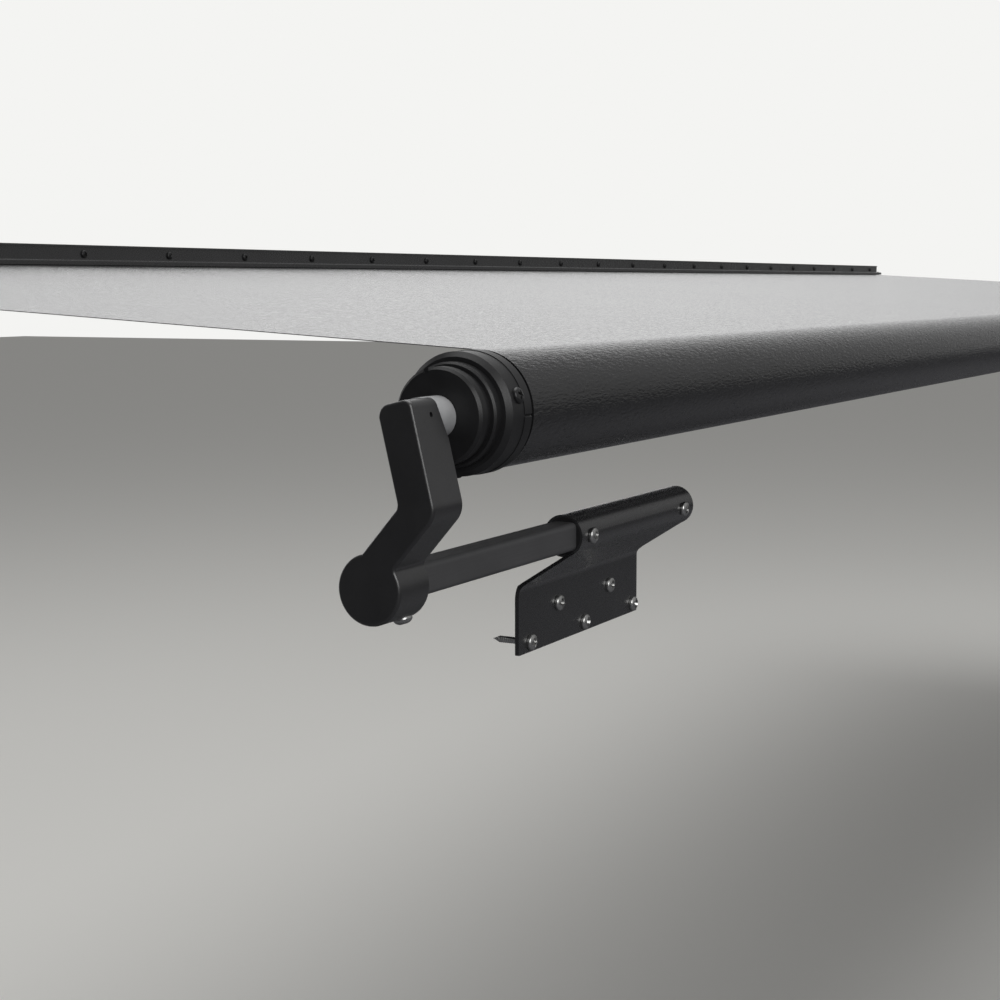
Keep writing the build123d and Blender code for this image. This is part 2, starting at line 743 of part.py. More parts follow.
def make_sleeve_screws():
    """Screws through the sleeve whose ends bear on the bar."""
    length = sleeve_outer_radius - bar_width / 2 - running_clearance
    screw = pan_screw(screw_head_radius, screw_head_height, screw_shank_radius, length, False)
    return at_bar(group([
        Pos(left_x(-x), -sleeve_outer_radius, -sleeve_screw_drop) * Rot(90, 0, 0) * screw
        for x in sleeve_screw_places()]))


def make_sleeve_bushes():
    """Plastic guides between the round sleeve and the square bar."""
    bushes = []
    for start in (sleeve_start + sleeve_bush_recess,
                  sleeve_end - sleeve_bush_recess - sleeve_bush_length):
        ring = shaft(left_x(-start), left_x(-start - sleeve_bush_length),
                     sleeve_bore - running_clearance)
        hole = square_bar(left_x(-start + 1), left_x(-start - sleeve_bush_length - 1),
                          bar_width + 2 * running_clearance, bar_corner)
        bushes.append(ring - hole)
    return at_bar(group(bushes))


# Places that only the makers above share
stop_screw_y = (cavity_y - rail_cavity_radius - rail_channel_depth) / 2
span_start_y = -rail_channel_depth - fabric_reach_out_of_rail
spring_inner_radius = spring_outer_radius - spring_wire
spring_end = spring_start + spring_length
collar_start = spring_start - collar_flange
plug_start = spring_end - plug_boss_length
plug_end = spring_end + plug_flange
rivet_x = left_x(-(spring_end + plug_end) / 2)
rivet_centre = tube_radius - rivet_sink - rivet_length / 2
clamp_x = left_x(arm_back + clamp_screw_inset)
plate_end = plate_start + plate_length

# Wall rail and fabric
rail_screw = Rot(90, 0, 0) * wall_screw(rail_flange_thickness)
stop_screw = pan_screw(small_head_radius, small_head_height, small_shank_radius,
                       stop_screw_length)
nodes["wall_rail"] = make_rail()
nodes["rail_screws"] = group([
    Pos(x, -rail_flange_thickness, 0) * rail_screw for x in rail_screw_places()])
nodes["fabric_stop_screws"] = group([
    Pos(x, stop_screw_y, -rail_channel_top) * stop_screw for x in stop_screw_places()])
nodes["fabric_rail_rope"] = make_rail_rope()
nodes["fabric_span"] = make_span()

# Roller
nodes["roller_tube"] = make_tube()
nodes["fabric_roller_rope"] = make_roller_rope()
nodes["fabric_roll"] = at_roller(shaft(-edge_x, edge_x, roll_radius,
                                       tube_radius + running_clearance))
both_ends("end_cap", make_cap())
both_ends("cap_screws", make_cap_screws())
nodes["torsion_spring"] = make_spring()
nodes["spring_plug"] = make_spring_plug()
nodes["spring_plug_rivets"] = make_rivets()

# Arms
both_ends("spindle_bush", make_bush())
nodes["left_spring_spindle"] = make_spring_spindle()
nodes["right_idler_spindle"] = mirror(
    at_roller(make_spindle(idler_spindle_inset) - lock_pin_hole()), Plane.YZ)
nodes["spring_collar"] = make_collar()
both_ends("arm", make_arm())
both_ends("arm_clamp_screw", make_arm_clamp_screw())
both_ends("bar", make_bar())

# Brackets
both_ends("bracket", make_bracket())
both_ends("bracket_screws", make_bracket_screws())
both_ends("sleeve_screws", make_sleeve_screws())
both_ends("sleeve_bushes", make_sleeve_bushes())

os.makedirs("parts", exist_ok=True)
for name, shape in nodes.items():
    export_step(shape, f"parts/{name}.step")
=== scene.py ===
"""Slide-out box awning: wound fabric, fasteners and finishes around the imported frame.

Everything is in metres in the frame's own axes: +X along the roller, +Y into the
vehicle's wall and +Z up, from the back face of the wall rail at its middle screw.
"""

import json
import logging
import math
from dataclasses import dataclass, field
from enum import Enum
from typing import Any, Iterable, Sequence

import bmesh
import bpy
import numpy as np
from mathutils import Matrix, Vector

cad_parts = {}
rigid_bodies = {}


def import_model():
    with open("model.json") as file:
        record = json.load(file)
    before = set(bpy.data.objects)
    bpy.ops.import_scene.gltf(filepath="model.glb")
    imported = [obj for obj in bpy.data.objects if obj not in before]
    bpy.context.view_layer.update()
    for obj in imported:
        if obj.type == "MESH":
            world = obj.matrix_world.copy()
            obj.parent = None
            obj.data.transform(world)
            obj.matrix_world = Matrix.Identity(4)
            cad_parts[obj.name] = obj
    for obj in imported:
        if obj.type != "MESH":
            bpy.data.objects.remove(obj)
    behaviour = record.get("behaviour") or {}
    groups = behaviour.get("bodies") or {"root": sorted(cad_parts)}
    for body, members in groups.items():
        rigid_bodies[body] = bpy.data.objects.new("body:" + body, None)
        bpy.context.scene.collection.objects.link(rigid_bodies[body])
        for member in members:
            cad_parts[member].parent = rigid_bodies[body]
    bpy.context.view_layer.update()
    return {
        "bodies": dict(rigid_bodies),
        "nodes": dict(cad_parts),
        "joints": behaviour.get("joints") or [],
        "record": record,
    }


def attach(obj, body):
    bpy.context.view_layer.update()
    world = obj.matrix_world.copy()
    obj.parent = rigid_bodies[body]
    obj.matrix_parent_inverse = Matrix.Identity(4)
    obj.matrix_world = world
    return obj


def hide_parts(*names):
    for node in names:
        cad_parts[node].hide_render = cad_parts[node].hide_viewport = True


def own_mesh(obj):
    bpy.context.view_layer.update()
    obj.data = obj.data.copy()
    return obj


log = logging.getLogger("awning")
logging.basicConfig(level=logging.INFO, format="%(name)s: %(message)s")

MM = 0.001
SIDES = (("left", -1.0), ("right", 1.0))
ROLLER_Y = -1.130
ROLLER_Z = -0.115
FABRIC_EDGE = 2.262
# Euler angles that turn a screw's head from +Z to -Y, away from the wall.
FACING_OUT = (math.pi / 2, 0.0, 0.0)


# Colours and nodes.

def linear(code: str) -> tuple[float, float, float, float]:
    """Turns an sRGB hex colour into linear light.

    Args:
        code: six hex digits after a hash sign.

    Returns:
        Linear red, green and blue, and an alpha of one.
    """
    parts = [int(code[i:i + 2], 16) / 255 for i in (1, 3, 5)]
    light = [c / 12.92 if c <= 0.04045 else ((c + 0.055) / 1.055) ** 2.4 for c in parts]
    return (*light, 1.0)


def add_node(tree: bpy.types.NodeTree, kind: str, inputs: dict[Any, Any] | None = None,
             **settings: Any) -> bpy.types.Node:
    """Adds a node with its settings, values and links.

    Args:
        tree: the node tree that gets it.
        kind: the node's type name.
        inputs: input name or index to a value, or to (node, output) for a link.
        settings: the node's own properties.

    Returns:
        The new node.
    """
    made = tree.nodes.new(kind)
    for key, value in settings.items():
        setattr(made, key, value)
    for key, value in (inputs or {}).items():
        if isinstance(value, tuple) and len(value) == 2 and isinstance(value[0], bpy.types.Node):
            tree.links.new(value[0].outputs[value[1]], made.inputs[key])
        else:
            made.inputs[key].default_value = value
    return made


# Finishes.

class Grain(Enum):
    """How a surface's fine pattern lies."""

    EVEN = "the same all ways"
    DRAWN = "lines along the roller"
    EMBOSSED = "grains longer along the roller than around it"


# How far each lay squeezes the pattern's coordinates along the roller.
LAY_ALONG = {Grain.EVEN: 1.0, Grain.DRAWN: 0.02, Grain.EMBOSSED: 0.3}


@dataclass(frozen=True)
class Finish:
    """A finish: its colours, gloss and fine relief, all on Object coordinates.

    Attributes:
        name: what the real surface is and how it was made.
        colour: main colour, sRGB hex.
        mottle: second colour that patches of the surface lean to, sRGB hex.
        patch_mm: size of those patches.
        gloss: lowest and highest roughness.
        metallic: 0 for paint, plastic and cloth, 1 for bare metal.
        grain_mm: size of one grain of the relief.
        relief_mm: height of the relief.
        lay: whether the relief is even, drawn in lines or embossed.
        coat: weight of a clear coat.
        ior: index of refraction of a surface that isn't metal.
    """

    name: str
    colour: str
    mottle: str
    patch_mm: float
    gloss: tuple[float, float]
    metallic: float
    grain_mm: float
    relief_mm: float
    lay: Grain = Grain.EVEN
    coat: float = 0.0
    ior: float = 1.5

    def build(self) -> bpy.types.Material:
        """Makes the material.

        Returns:
            A material whose colour, gloss and relief all come from nodes.
        """
        material = bpy.data.materials.new(self.name)
        material.use_nodes = True
        tree = material.node_tree
        tree.nodes.clear()
        coords = add_node(tree, "ShaderNodeTexCoord")
        laid = add_node(tree, "ShaderNodeMapping",
                        {"Vector": (coords, "Object"), "Scale": (LAY_ALONG[self.lay], 1.0, 1.0)})
        patches = add_node(tree, "ShaderNodeTexNoise", {
            "Vector": (coords, "Object"), "Scale": 1 / (self.patch_mm * MM),
            "Detail": 4.0, "Roughness": 0.6})
        blend = add_node(tree, "ShaderNodeMapRange", {
            "Value": (patches, "Fac"), "From Min": 0.35, "From Max": 0.65})
        tint = add_node(tree, "ShaderNodeMix", {
            "Factor": (blend, "Result"), "A": linear(self.colour), "B": linear(self.mottle)},
            data_type="RGBA")
        grain = add_node(tree, "ShaderNodeTexNoise", {
            "Vector": (laid, "Vector"), "Scale": 1 / (self.grain_mm * MM),
            "Detail": 2.5, "Roughness": 0.55})
        worn = add_node(tree, "ShaderNodeMapRange", {
            "Value": (grain, "Fac"), "From Min": 0.3, "From Max": 0.7,
            "To Min": self.gloss[0], "To Max": self.gloss[1]})
        relief = add_node(tree, "ShaderNodeBump", {
            "Height": (grain, "Fac"), "Distance": self.relief_mm * MM})
        skin = add_node(tree, "ShaderNodeBsdfPrincipled", {
            "Base Color": (tint, 2), "Roughness": (worn, "Result"),
            "Coat Roughness": (worn, "Result"), "Normal": (relief, "Normal"),
            "Coat Normal": (relief, "Normal"), "Metallic": self.metallic})
        if self.metallic < 1.0:
            skin.inputs["IOR"].default_value = self.ior
        skin.inputs["Coat Weight"].default_value = self.coat
        add_node(tree, "ShaderNodeOutputMaterial", {"Surface": (skin, "BSDF")})
        return material


# Powder coat bakes to a fine orange peel that breaks up a highlight without dulling it.
POWDER_COAT = Finish(
    "powder-coated aluminium, satin black", "#202021", "#262627", patch_mm=60.0, gloss=(0.22, 0.30),
    metallic=0.0, grain_mm=0.9, relief_mm=0.02, coat=0.9)
# Sprayed paint over a sand-cast skin keeps a soft, slightly pitted surface.
CAST_PAINT = Finish(
    "painted cast aluminium, satin black", "#1C1C1D", "#232324", patch_mm=30.0, gloss=(0.30, 0.40),
    metallic=0.0, grain_mm=1.1, relief_mm=0.02, coat=1.0)
# Black electrophoretic paint on a drawn tube shows faint lines along its length.
DRAWN_STEEL = Finish(
    "painted steel tube, satin black", "#4A4A4B", "#525253", patch_mm=80.0, gloss=(0.46, 0.56),
    metallic=0.0, grain_mm=0.8, relief_mm=0.012, lay=Grain.DRAWN)
# Glass-filled nylon comes out of its mould with a fine spark texture.
MOULDED_NYLON = Finish(
    "moulded nylon, black", "#1B1B1C", "#232324", patch_mm=20.0, gloss=(0.32, 0.44),
    metallic=0.0, grain_mm=0.6, relief_mm=0.012, ior=1.45)
# Acetal is paler and waxier than nylon and scuffs to lighter patches.
ACETAL = Finish(
    "moulded acetal, grey", "#B2B2B3", "#A6A7A8", patch_mm=15.0, gloss=(0.4, 0.5),
    metallic=0.0, grain_mm=0.8, relief_mm=0.01)
# The vinyl's grain is embossed by rollers over a woven scrim. It is drawn coarser and deeper
# than on real cloth, where it would be too fine to show.
COATED_VINYL = Finish(
    "embossed vinyl on scrim, black", "#1A1A1B", "#202021", patch_mm=90.0, gloss=(0.16, 0.28),
    metallic=0.0, grain_mm=1.8, relief_mm=0.55, lay=Grain.EMBOSSED, coat=0.35)
# Passivated stainless heads are bright with faint rings and tool marks.
STAINLESS = Finish(
    "passivated stainless steel", "#C8C8C6", "#AFAFAE", patch_mm=4.0, gloss=(0.22, 0.36),
    metallic=1.0, grain_mm=0.4, relief_mm=0.006)
# Zinc plate is slightly bluish and clouded.
ZINC_PLATE = Finish(
    "zinc-plated steel", "#A9ACB0", "#8E9196", patch_mm=12.0, gloss=(0.3, 0.45),
    metallic=1.0, grain_mm=0.6, relief_mm=0.006)
# Black-oxide screws are nearly as dark as the rail, with a little more gloss.
BLACK_OXIDE = Finish(
    "black-oxide steel", "#1C1C1D", "#252526", patch_mm=6.0, gloss=(0.26, 0.38),
    metallic=0.0, grain_mm=0.5, relief_mm=0.008)
# Oiled spring steel is dark with a brown cast.
OILED_STEEL = Finish(
    "oiled spring steel", "#5A5650", "#49453F", patch_mm=12.0, gloss=(0.3, 0.45),
    metallic=1.0, grain_mm=0.7, relief_mm=0.008)
# The extruded tube under the fabric is black and keeps its die's fine lines. Its near-black is also
# painted shade: the strip of tube seen in the gap beside each cap is kept this dark to stand in for
# the shade in that gap.
TUBE_ALUMINIUM_GAP_SHADE = Finish(
    "extruded aluminium, black", "#121213", "#171718", patch_mm=60.0, gloss=(0.35, 0.5),
    metallic=0.0, grain_mm=0.7, relief_mm=0.01, lay=Grain.DRAWN)
# A hem is vinyl folded and sewn round a cord, which leaves it duller than the flat cloth.
HEM_CORD = Finish(
    "sewn vinyl hem, black", "#1B1B1C", "#242425", patch_mm=20.0, gloss=(0.5, 0.7),
    metallic=0.0, grain_mm=1.2, relief_mm=0.08)


# Mesh helpers.

def mesh_object(name: str, vertices: Sequence[Sequence[float]], faces: Sequence[Sequence[int]],
                material: bpy.types.Material, smooth_angle: float = 35.0) -> bpy.types.Object:
    """Makes an object at the origin from vertices and faces.

    Args:
        name: the piece's name.
        vertices: points in metres in the frame.
        faces: vertex numbers of each face, seen from outside.
        material: its finish.
        smooth_angle: edges sharper than this many degrees stay crisp.

    Returns:
        The linked object.
    """
    mesh = bpy.data.meshes.new(name)
    mesh.from_pydata([tuple(v) for v in vertices], [], [tuple(f) for f in faces])
    mesh.update()
    return place_mesh(name, mesh, material, smooth_angle)


def place_mesh(name: str, mesh: bpy.types.Mesh, material: bpy.types.Material,
               smooth_angle: float = 35.0) -> bpy.types.Object:
    """Links a finished mesh as a piece, shaded smooth between its sharp edges.

    Args:
        name: the piece's name.
        mesh: its mesh, with its place in its vertices.
        material: its finish.
        smooth_angle: edges sharper than this many degrees stay crisp.

    Returns:
        The linked object.
    """
    mesh.materials.clear()
    mesh.materials.append(material)
    mesh.shade_smooth()
    mesh.set_sharp_from_angle(angle=math.radians(smooth_angle))
    piece = bpy.data.objects.new(name, mesh)
    bpy.context.scene.collection.objects.link(piece)
    log.info("%s: %d faces", name, len(mesh.polygons))
    return piece


def thick_sheet(name: str, grid: np.ndarray, normals: np.ndarray, thickness: float,
                material: bpy.types.Material, uv_size: tuple[float, float]) -> bpy.types.Object:
    """Closed shell of a cloth from a grid of points on its middle surface.

    Args:
        name: the piece's name.
        grid: points, rows along X and columns along the cloth's length.
        normals: unit normals at the points, on the cloth's outer side.
        thickness: the cloth's thickness.
        material: its finish.
        uv_size: width and length of the flat cloth, for its UV map in metres.

    Returns:
        The piece.
    """
    rows, columns = grid.shape[:2]
    outer = (grid + normals * thickness / 2).reshape(-1, 3)
    inner = (grid - normals * thickness / 2).reshape(-1, 3)
    count = rows * columns
    faces: list[tuple[int, ...]] = []
    for i in range(rows - 1):
        for j in range(columns - 1):
            a, b = i * columns + j, i * columns + j + 1
            c, d = b + columns, a + columns
            faces.append((a, d, c, b))
            faces.append((a + count, b + count, c + count, d + count))
    for i in range(rows - 1):
        for j, turned in ((0, False), (columns - 1, True)):
            a, d = i * columns + j, (i + 1) * columns + j
            rim = (a, a + count, d + count, d)
            faces.append(rim[::-1] if turned else rim)
    for j in range(columns - 1):
        for i, turned in ((0, True), (rows - 1, False)):
            a, b = i * columns + j, i * columns + j + 1
            rim = (a, a + count, b + count, b)
            faces.append(rim[::-1] if turned else rim)
    piece = mesh_object(name, np.vstack([outer, inner]), faces, material, smooth_angle=50.0)
    layer = piece.data.uv_layers.new(name="cloth")
    across, along = uv_size
    for loop in piece.data.loops:
        place = loop.vertex_index % count
        layer.data[loop.index].uv = (across * (place // columns) / (rows - 1),
                                     along * (place % columns) / (columns - 1))
    return piece


def turned_outwards(piece: bpy.types.Object) -> None:
    """Merges doubles and makes a closed mesh's faces point outwards."""
    shell = bmesh.new()
    shell.from_mesh(piece.data)
    bmesh.ops.remove_doubles(shell, verts=shell.verts, dist=1e-6)
    bmesh.ops.recalc_face_normals(shell, faces=shell.faces)
    shell.to_mesh(piece.data)
    shell.free()


# Fasteners.

@dataclass
class PanScrew:
    """A pan-head screw with a cross recess, drawn with its seat on the XY plane.

    Attributes:
        head_radius: radius of the head.
        head_height: height of the head.
        shank_radius: outer radius of the thread.
        length: length under the head.
        thread_pitch: spacing of the thread, or 0 for a plain shank.
        segments: faces around it.
        rim: height at which the dome starts, as a share of the head's height.
        edge: height at which the rim turns in to the seat, as a share of the head's height.
        seat: radius of the seat, as a share of the head's radius.
        dome_out: power that sets how soon the dome reaches its full radius.
        dome_up: power that sets how flat the dome's top is.
        recess_depth: depth of the cross, as a share of the head's height.
        recess_top: half length of the cross at its top, as a share of the head's radius.
        recess_foot: the same at its foot.
        recess_half: half width of its arms, as a share of the head's radius.
        tip: narrowest share of the shank's radius, at its point.
        point: length of a threaded screw's point, in shank radii.
        blunt: length of a plain shank's rounded end, in shank radii.
        root: share of the shank's radius at the bottom of the thread.
        dome_steps: rings from the head's top to its rim.
        steps_per_pitch: rings in one turn of the thread.
    """

    head_radius: float
    head_height: float
    shank_radius: float
    length: float
    thread_pitch: float = 0.0
    segments: int = 40
    rim: float = 0.28
    edge: float = 0.1
    seat: float = 0.97
    dome_out: float = 0.9
    dome_up: float = 0.75
    recess_depth: float = 0.62
    recess_top: float = 0.72
    recess_foot: float = 0.34
    recess_half: float = 0.16
    tip: float = 0.12
    point: float = 2.0
    blunt: float = 0.3
    root: float = 0.8
    dome_steps: int = 9
    steps_per_pitch: int = 4

    def _profile(self) -> list[tuple[float, float]]:
        """Radius and height of the head's outline, from beside its top down to the seat."""
        radius, height = self.head_radius, self.head_height
        rim = self.rim * height
        points = []
        for step in range(1, self.dome_steps + 1):
            turn = step / self.dome_steps * math.pi / 2
            points.append((radius * math.sin(turn) ** self.dome_out,
                           rim + (height - rim) * math.cos(turn) ** self.dome_up))
        points += [(radius, self.edge * height), (self.seat * radius, 0.0),
                   (self.shank_radius, 0.0)]
        return points

    def _shank(self) -> list[list[float]]:
        """Rings down the shank: height and radius at each step around."""
        rings = []
        narrows = (self.point if self.thread_pitch else self.blunt) * self.shank_radius
        count = 3
        if self.thread_pitch:
            count = max(count, round(self.length / (self.thread_pitch / self.steps_per_pitch)))
        for k in range(1, count + 1):
            height = -self.length * k / count
            taper = min(1.0, max(self.tip, (self.length + height) / narrows))
            ring = [height]
            for s in range(self.segments):
                radius = self.shank_radius * taper
                if self.thread_pitch:
                    wave = (height / self.thread_pitch + s / self.segments) % 1.0
                    radius *= self.root + (1 - self.root) * abs(2 * wave - 1)
                ring.append(radius)
            rings.append(ring)
        return rings

    def _cutter(self) -> bpy.types.Mesh:
        """Tapered cross that cuts the recess."""
        cross = bmesh.new()
        above = self.head_height * 1.2
        foot = self.head_height * (1 - self.recess_depth)
        half = self.recess_half * self.head_radius
        for turn in (0.0, math.pi / 2):
            made = []
            for z, reach in ((above, self.recess_top * self.head_radius),
                             (foot, self.recess_foot * self.head_radius)):
                for sx, sy in ((1, 1), (-1, 1), (-1, -1), (1, -1)):
                    x, y = sx * reach, sy * half
                    spun = (x * math.cos(turn) - y * math.sin(turn),
                            x * math.sin(turn) + y * math.cos(turn))
                    made.append(cross.verts.new((*spun, z)))
            cross.faces.new(made[:4])
            cross.faces.new(made[:3:-1])
            for k in range(4):
                cross.faces.new((made[k], made[k + 4], made[(k + 1) % 4 + 4],
                                 made[(k + 1) % 4]))
        bmesh.ops.recalc_face_normals(cross, faces=cross.faces)
        mesh = bpy.data.meshes.new("screw recess")
        cross.to_mesh(mesh)
        cross.free()
        return mesh

    def build(self, name: str) -> bpy.types.Object:
        """Makes the screw as a hidden pattern for the rows that repeat it.

        Args:
            name: the pattern's name.

        Returns:
            An object that no render shows.
        """
        body = bmesh.new()
        rings = []
        for radius, height in self._profile():
            rings.append([body.verts.new((radius * math.cos(2 * math.pi * s / self.segments),
                                          radius * math.sin(2 * math.pi * s / self.segments),
                                          height)) for s in range(self.segments)])
        for ring in self._shank():
            rings.append([body.verts.new((r * math.cos(2 * math.pi * s / self.segments),
                                          r * math.sin(2 * math.pi * s / self.segments),
                                          ring[0])) for s, r in enumerate(ring[1:])])
        top = body.verts.new((0, 0, self.head_height))
        end = body.verts.new((0, 0, -self.length))
        for s in range(self.segments):
            n = (s + 1) % self.segments
            body.faces.new((top, rings[0][s], rings[0][n]))
            body.faces.new((end, rings[-1][n], rings[-1][s]))
            for upper, lower in zip(rings, rings[1:]):
                body.faces.new((upper[s], lower[s], lower[n], upper[n]))
        mesh = bpy.data.meshes.new(name)
        body.to_mesh(mesh)
        body.free()
        whole = bpy.data.objects.new(name, mesh)
        cutter = bpy.data.objects.new(name + " recess", self._cutter())
        for item in (whole, cutter):
            bpy.context.scene.collection.objects.link(item)
        cut = whole.modifiers.new("recess", "BOOLEAN")
        cut.operation = "DIFFERENCE"
        cut.solver = "EXACT"
        cut.use_self = True
        cut.object = cutter
        bpy.context.view_layer.update()
        depsgraph = bpy.context.evaluated_depsgraph_get()
        finished = bpy.data.meshes.new_from_object(whole.evaluated_get(depsgraph))
        bpy.data.objects.remove(cutter)
        bpy.data.objects.remove(whole)
        return bpy.data.objects.new(name, finished)


class FastenerRow:
    """Geometry Nodes tree that sets a screw along a row and turns each a little."""

    def __init__(self) -> None:
        """Builds the tree once; every row of screws uses it."""
        tree = bpy.data.node_groups.new("fastener row", "GeometryNodeTree")
        self.tree = tree
        sockets = (("Screw", "NodeSocketObject"), ("Finish", "NodeSocketMaterial"),
                   ("Count", "NodeSocketInt"), ("Start", "NodeSocketVector"),
                   ("Step", "NodeSocketVector"), ("Lean", "NodeSocketVector"),
                   ("Seed", "NodeSocketInt"))
        self.inputs = {
            name: tree.interface.new_socket(name, in_out="INPUT", socket_type=kind).identifier
            for name, kind in sockets}
        tree.interface.new_socket("Geometry", in_out="OUTPUT",
                                  socket_type="NodeSocketGeometry")
        given = add_node(tree, "NodeGroupInput")
        line = add_node(tree, "GeometryNodeMeshLine", {
            "Count": (given, "Count"), "Start Location": (given, "Start"),
            "Offset": (given, "Step")}, mode="OFFSET")
        screw = add_node(tree, "GeometryNodeObjectInfo", {"Object": (given, "Screw")})
        lean = add_node(tree, "FunctionNodeEulerToRotation", {"Euler": (given, "Lean")})
        spin = add_node(tree, "FunctionNodeRandomValue", {
            "Seed": (given, "Seed")}, data_type="FLOAT_VECTOR")
        spin.inputs["Min"].default_value = (0.0, 0.0, 0.0)
        spin.inputs["Max"].default_value = (0.0, 0.0, math.pi)
        twist = add_node(tree, "FunctionNodeEulerToRotation", {"Euler": (spin, "Value")})
        turned = add_node(tree, "FunctionNodeRotateRotation", {
            "Rotation": (lean, "Rotation"), "Rotate By": (twist, "Rotation")},
            rotation_space="LOCAL")
        placed = add_node(tree, "GeometryNodeInstanceOnPoints", {
            "Points": (line, "Mesh"), "Instance": (screw, "Geometry"),
            "Rotation": (turned, "Rotation")})
        real = add_node(tree, "GeometryNodeRealizeInstances", {"Geometry": (placed, "Instances")})
        finished = add_node(tree, "GeometryNodeSetMaterial", {
            "Geometry": (real, "Geometry"), "Material": (given, "Finish")})
        add_node(tree, "NodeGroupOutput", {"Geometry": (finished, "Geometry")})

    def row(self, screw: bpy.types.Object, finish: bpy.types.Material, count: int,
            start: Sequence[float], step: Sequence[float], lean: Sequence[float],
            seed: int) -> bpy.types.Mesh:
        """Lays out one row.

        Args:
            screw: the pattern that repeats.
            finish: its finish.
            count: screws in the row.
            start: seat of the first screw.
            step: from one seat to the next.
            lean: Euler angles that point the head outwards.
            seed: seed for the turn of each screw.

        Returns:
            The row as a plain mesh.
        """
        holder = bpy.data.objects.new("row", bpy.data.meshes.new("row"))
        bpy.context.scene.collection.objects.link(holder)
        layout = holder.modifiers.new("row", "NODES")
        layout.node_group = self.tree
        for name, value in (("Screw", screw), ("Finish", finish), ("Count", count),
                            ("Start", tuple(start)), ("Step", tuple(step)),
                            ("Lean", tuple(lean)), ("Seed", seed)):
            layout[self.inputs[name]] = value
        bpy.context.view_layer.update()
        depsgraph = bpy.context.evaluated_depsgraph_get()
        mesh = bpy.data.meshes.new_from_object(holder.evaluated_get(depsgraph))
        bpy.data.objects.remove(holder)
        return mesh


def joined(name: str, meshes: Iterable[bpy.types.Mesh],
           material: bpy.types.Material) -> bpy.types.Object:
    """Joins meshes into one piece.

    Args:
        name: the piece's name.
        meshes: plain meshes in the frame's own axes.
        material: the finish of all of them.

    Returns:
        The piece.
    """
    whole = bmesh.new()
    for mesh in meshes:
        whole.from_mesh(mesh)
    together = bpy.data.meshes.new(name)
    whole.to_mesh(together)
    whole.free()
    return place_mesh(name, together, material, smooth_angle=30.0)


# Sub-assemblies.

@dataclass
class WallRail:
    """The extruded rail on the vehicle's wall and its row of screws."""

    screw_count: int = 26
    screw_pitch: float = 0.178
    flange_thickness: float = 0.003
    screws: PanScrew = field(default_factory=lambda: PanScrew(
        head_radius=0.0055, head_height=0.0035, shank_radius=0.0024, length=0.028,
        thread_pitch=0.0016, segments=24))

    def build(self, kit: "Kit") -> None:
        """Dresses the rail and sets its screws.

        Args:
            kit: the finishes and the tree for rows of screws.
        """
        kit.dress("wall_rail", "powder coat")
        kit.dress("fabric_stop_screws", "stainless")
        first = -(self.screw_count - 1) * self.screw_pitch / 2
        row = kit.rows.row(self.screws.build("rail screw"), kit.finish["black oxide"],
                           self.screw_count, (first, -self.flange_thickness, 0.0),
                           (self.screw_pitch, 0.0, 0.0), FACING_OUT, seed=3)
        piece = joined("rail_pan_screws", [row], kit.finish["black oxide"])
        kit.stand_for(piece, "wall", "screw_black", "rail_screws")


@dataclass(frozen=True)
class Crease:
    """One set of soft waves along the rail.

    Attributes:
        height: height of the waves either way, in millimetres.
        spacing: metres from crest to crest.
        slant: crests that a line from rail to roller passes.
        phase: shift of the crests, in radians.
        wander: how far the shift itself swings along the rail, in radians.
        swing: how fast it swings, in radians per metre.
    """

    height: float
    spacing: float
    slant: float = 0.0
    phase: float = 0.0
    wander: float = 0.0
    swing: float = 2.1

    def wave(self, x: np.ndarray, share: np.ndarray) -> np.ndarray:
        """Heights in millimetres at places along the rail and shares of the reach."""
        shift = self.phase + self.wander * np.sin(x * self.swing)
        return self.height * np.sin(2 * np.pi * (x / self.spacing + share * self.slant) + shift)


